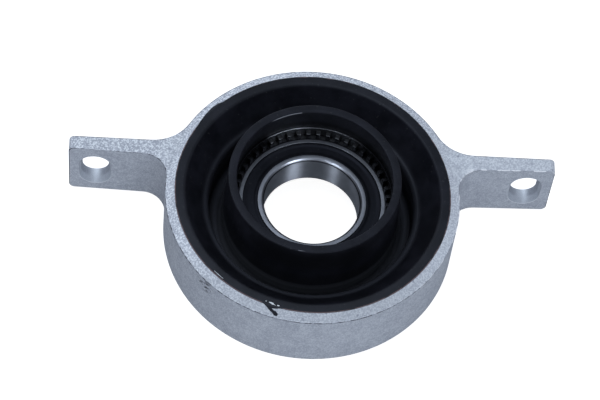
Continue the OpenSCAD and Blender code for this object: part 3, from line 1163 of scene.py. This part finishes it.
pitch_r = 25.5
groove_r = 3.38
groove_shift = 0.08
groove_step = math.radians(8)
outer_shoulder_r = 27.25
inner_shoulder_r = 23.75
seal_r = 28.9
seal_seat = 1.5
race_chamfer = 0.4
edge_break = 0.1
seat_top = bearing_top - seal_seat
seat_foot = bearing_foot + seal_seat
race_edge_shade_land = (0.8, 0.55)
race_edge_shade_dark = (0.03, 0.03, 0.034, 1)


def groove(centre_r, middle, shoulder_r, turn):
    """Corners of a race groove, from its lower to its upper edge if turn is 1."""
    half = math.acos(abs(shoulder_r - centre_r) / groove_r)
    centre = Vector((centre_r, bearing_z))
    points = arc(centre, groove_r, middle + turn * half, middle - turn * half, groove_step)
    return [(p.x, p.y, 0) for p in points]


outer_race = turned("outer_race_ring", [
    (bearing_r, bearing_foot + race_chamfer, edge_break),
    (bearing_r, bearing_top - edge_break, 0),
    (bearing_r - edge_break, bearing_top, 0),
    (seal_r, bearing_top, edge_break),
    (seal_r, seat_top, 0),
    (outer_shoulder_r, seat_top, 0),
    *groove(pitch_r - groove_shift, 0, outer_shoulder_r, 1),
    (outer_shoulder_r, seat_foot, 0),
    (seal_r, seat_foot, 0),
    (seal_r, bearing_foot, edge_break),
    (bearing_r - race_chamfer, bearing_foot, edge_break),
])


def paint_race_edge_shade(material):
    """Painted shade: a dark band on the face's outer edge, under the teeth of the sleeve."""
    tree = material.node_tree
    radius = axis_radius(tree, object_axes(tree))
    outer = zone(tree, radius, *[bearing_r - land for land in race_edge_shade_land])
    lay_colour(tree, tree.nodes["Principled BSDF"], outer, race_edge_shade_dark)


outer_race_steel = turned_steel(
    "outer_race_steel", dark=(0.12, 0.122, 0.134, 1), bright=(0.22, 0.223, 0.243, 1), roughness=0.36,
    bump=0.4,
)
paint_race_edge_shade(outer_race_steel)
outer_race.data.materials.append(outer_race_steel)
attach(outer_race, "bracket")
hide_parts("outer_race")


# Inner race
# Ground bearing steel with a polished bore, chamfered at both ends, that is pressed on the
# shaft. It turns with the shaft, and a step at each end runs under the seal's lip.

bore_r = 20.0
bore_chamfer = 1.0
inner_face_r = 22.6
corner_below = 0.15
corner_from = bearing_half_w - bore_chamfer - corner_below
corner_to = bearing_half_w - bore_chamfer / 2
corner_rise = 0.1
corner_fall = 0.2
corner_shade_dark = (0.03, 0.03, 0.034, 1)
bore_skin = 0.02
chamfer_end = 0.05
chamfer_skin = bore_chamfer - chamfer_end

inner_race = turned("inner_race_ring", [
    (bore_r, bearing_foot + bore_chamfer, edge_break),
    (bore_r + bore_chamfer, bearing_foot, edge_break),
    (inner_face_r, bearing_foot, edge_break),
    (inner_face_r, seat_foot, 0),
    (inner_shoulder_r, seat_foot, 0),
    *groove(pitch_r + groove_shift, math.pi, inner_shoulder_r, 1),
    (inner_shoulder_r, seat_top, 0),
    (inner_face_r, seat_top, 0),
    (inner_face_r, bearing_top, edge_break),
    (bore_r + bore_chamfer, bearing_top, edge_break),
    (bore_r, bearing_top - bore_chamfer, edge_break),
])


def paint_corner_shade(material):
    """Painted dark reflection: a dark line in the corner of bore and chamfer."""
    tree = material.node_tree
    height = math_node(tree, "SUBTRACT", object_axes(tree)["Z"], bearing_z * MM)
    height = math_node(tree, "ABSOLUTE", height)
    corner = band(tree, height, corner_from, corner_from + corner_rise, corner_to - corner_fall, corner_to)
    lay_colour(tree, tree.nodes["Principled BSDF"], corner, corner_shade_dark)


inner_race.data.materials.append(turned_steel(
    "inner_race_steel", dark=(0.145, 0.147, 0.161, 1), bright=(0.263, 0.266, 0.291, 1), roughness=0.36,
    bump=0.4,
))
bore_steel = turned_steel(
    "bore_steel", dark=(0.23, 0.232, 0.252, 1), bright=(0.39, 0.393, 0.425, 1), roughness=0.37, bump=0.1,
    across_lines=1.0,
)
chamfer_steel = turned_steel(
    "chamfer_steel", dark=(0.16, 0.162, 0.177, 1), bright=(0.265, 0.268, 0.29, 1), roughness=0.34, bump=0.2,
)
bore_index = 1
chamfer_index = 2
for steel in (bore_steel, chamfer_steel):
    paint_corner_shade(steel)
    inner_race.data.materials.append(steel)
for face in inner_race.data.polygons:
    inward = Vector(face.center[:2]).length - bore_r * MM
    if inward < bore_skin * MM:
        face.material_index = bore_index
    elif inward < chamfer_skin * MM:
        face.material_index = chamfer_index
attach(inner_race, "inner_race")
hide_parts("inner_race")


# Seals
# A black rubber disc on a thin steel core closes each end of the bearing. Its bead snaps into
# the outer race, and its lip runs over the inner race's step.

lip_gap = 0.1
lip_r = inner_face_r + lip_gap
lip_land = 0.7
bead_land = 0.8
dish_slope = 1.0
web_h = bearing_half_w - seal_seat + 2 * lip_gap
rim_drop = 0.4
rim_h = bearing_half_w - rim_drop
dish_drop = 0.3
dish_h = rim_h - dish_drop
bead_h = bearing_half_w - seal_seat
seal_edge = 0.15
land_round = 0.3
dish_round = 0.4


def seal_ring(name, side):
    """Seal above (side 1) or below (side -1) the balls."""
    section = [
        (lip_r, web_h, 0),
        (lip_r, rim_h, seal_edge),
        (lip_r + lip_land, rim_h, land_round),
        (lip_r + lip_land + dish_slope, dish_h, dish_round),
        (seal_r - bead_land - dish_slope, dish_h, dish_round),
        (seal_r - bead_land, rim_h, land_round),
        (seal_r, rim_h, seal_edge),
        (seal_r, bead_h, 0),
        (outer_shoulder_r, bead_h, 0),
        (outer_shoulder_r, web_h, 0),
    ]
    return turned(name, [(r, bearing_z + side * h, rounding) for r, h, rounding in section])


seal_rubber = moulded_rubber(
    "seal_rubber", dark=(0.002, 0.002, 0.0025, 1), bloomed=(0.004, 0.004, 0.005, 1),
    dusty=(0.02, 0.02, 0.02, 1), roughness=0.45, bump=0.3, gloss=0.17,
)
for seal_name, side in (("upper_seal", 1), ("lower_seal", -1)):
    seal = seal_ring(seal_name + "_disc", side)
    seal.data.materials.append(seal_rubber)
    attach(seal, "bracket")
    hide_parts(seal_name)


# Balls and cage
# Lapped steel balls run in the grooves, spaced by two pressed steel cage halves that are
# riveted together. The seals hide them, so the solids stay as they are with a steel finish.

ball_steel = turned_steel(
    "ball_steel", dark=(0.6, 0.61, 0.63, 1), bright=(0.8, 0.81, 0.83, 1), roughness=0.12, bump=0.05,
)
cage_steel = turned_steel(
    "cage_steel", dark=(0.3, 0.3, 0.29, 1), bright=(0.5, 0.5, 0.48, 1), roughness=0.35, bump=0.2,
)
for node_name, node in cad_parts.items():
    if node_name.startswith("ball_"):
        node.data.materials.clear()
        node.data.materials.append(ball_steel)
    elif "cage" in node_name:
        node.data.materials.clear()
        node.data.materials.append(cage_steel)


# Table and light
# The part lies on a plain white table, under soft studio light from all round. Two small
# lamps shine on the bearing alone, for the gleam in its bore.

table_size = 6.0
table_drop = 0.05
table_dark = (0.42, 0.42, 0.42, 1)
table_bright = (0.46, 0.46, 0.46, 1)
table_scale = 3.0
table_span = (0.3, 0.7)
table_rough = 0.8
table_glow = 0.95
black = (0, 0, 0, 1)
white = (1, 1, 1, 1)
bpy.ops.object.select_all(action="DESELECT")
bpy.ops.mesh.primitive_plane_add(size=table_size, location=(0, 0, -table_drop * MM))
table = bpy.context.object
table.name = "table"
table_white, tree, shader = new_material("table_white")
place = add(tree, "TexCoord").outputs["Object"]
tone = ramp(tree, noise_value(tree, place, table_scale), *table_span)
tree.links.new(mix_colour(tree, tone, table_dark, table_bright), shader.inputs["Base Color"])
shader.inputs["Roughness"].default_value = table_rough
shader.inputs["Emission Strength"].default_value = table_glow
seen = add(tree, "LightPath").outputs["Is Camera Ray"]
tree.links.new(mix_colour(tree, seen, black, white), shader.inputs["Emission Color"])
table.data.materials.append(table_white)

sky_low = (0.42, 0.45, 0.52, 1)
sky_high = (0.4, 0.46, 0.54, 1)
sky_span = (0.1, 0.9)
scene = bpy.context.scene
scene.view_settings.view_transform = "Standard"
scene.world = bpy.data.worlds.new("studio")
scene.world.use_nodes = True
tree = scene.world.node_tree
sky = tree.nodes["Background"]
height = add(tree, "SeparateXYZ", {0: add(tree, "TexCoord").outputs["Generated"]}).outputs["Z"]
tree.links.new(mix_colour(tree, ramp(tree, height, *sky_span), sky_low, sky_high), sky.inputs["Color"])
lamp_colour = (0.78, 0.88, 1.0)


def softbox(name, azimuth, height, away, size, power, only_on=()):
    """Square area light that looks at the part from this azimuth, height and distance."""
    light = bpy.data.lights.new(name, "AREA")
    light.size = size
    light.energy = power
    light.color = lamp_colour
    lamp = bpy.data.objects.new(name, light)
    scene.collection.objects.link(lamp)
    level_place = polar(away, math.radians(azimuth))
    lamp.location = (level_place.x, level_place.y, height)
    lamp.rotation_euler = (-lamp.location).to_track_quat("-Z", "Y").to_euler()
    if only_on:
        lamp.light_linking.receiver_collection = bpy.data.collections.new(name + "_lit")
    for piece in only_on:
        lamp.light_linking.receiver_collection.objects.link(piece)


bearing_pieces = (inner_race, outer_race, sleeve, bpy.data.objects["upper_seal_disc"])
softbox("overhead", azimuth=135, height=1.1, away=0.35, size=0.8, power=3.7)
softbox("back", azimuth=100, height=0.35, away=1.2, size=0.6, power=2)
softbox("fill", azimuth=-77, height=0.15, away=1.2, size=0.8, power=6.4)
softbox("left", azimuth=-133, height=0.8, away=0.9, size=0.22, power=5.4, only_on=bearing_pieces)
softbox("right", azimuth=-50, height=0.8, away=0.9, size=0.35, power=10.5, only_on=bearing_pieces)


# Camera
# It looks down on the collar's side with a long lens, turned a little round the shaft axis.

lens = 153.37
elevation = math.radians(58.29)
turn = math.radians(-5.58)
roll = math.radians(7.55)
distance = 1.0585
aim = Vector((-5.217, -2.207, 29.329)) * MM

level_way = polar(math.cos(elevation), turn + math.pi / 2)
ahead = Vector((level_way.x, level_way.y, -math.sin(elevation)))
camera = bpy.data.objects.new("camera", bpy.data.cameras.new("camera"))
scene.collection.objects.link(camera)
camera.data.lens = lens
camera.location = aim - ahead * distance
camera.rotation_euler = ahead.to_track_quat("-Z", "Y").to_euler()
camera.rotation_euler.rotate_axis("Z", roll)
scene.camera = camera
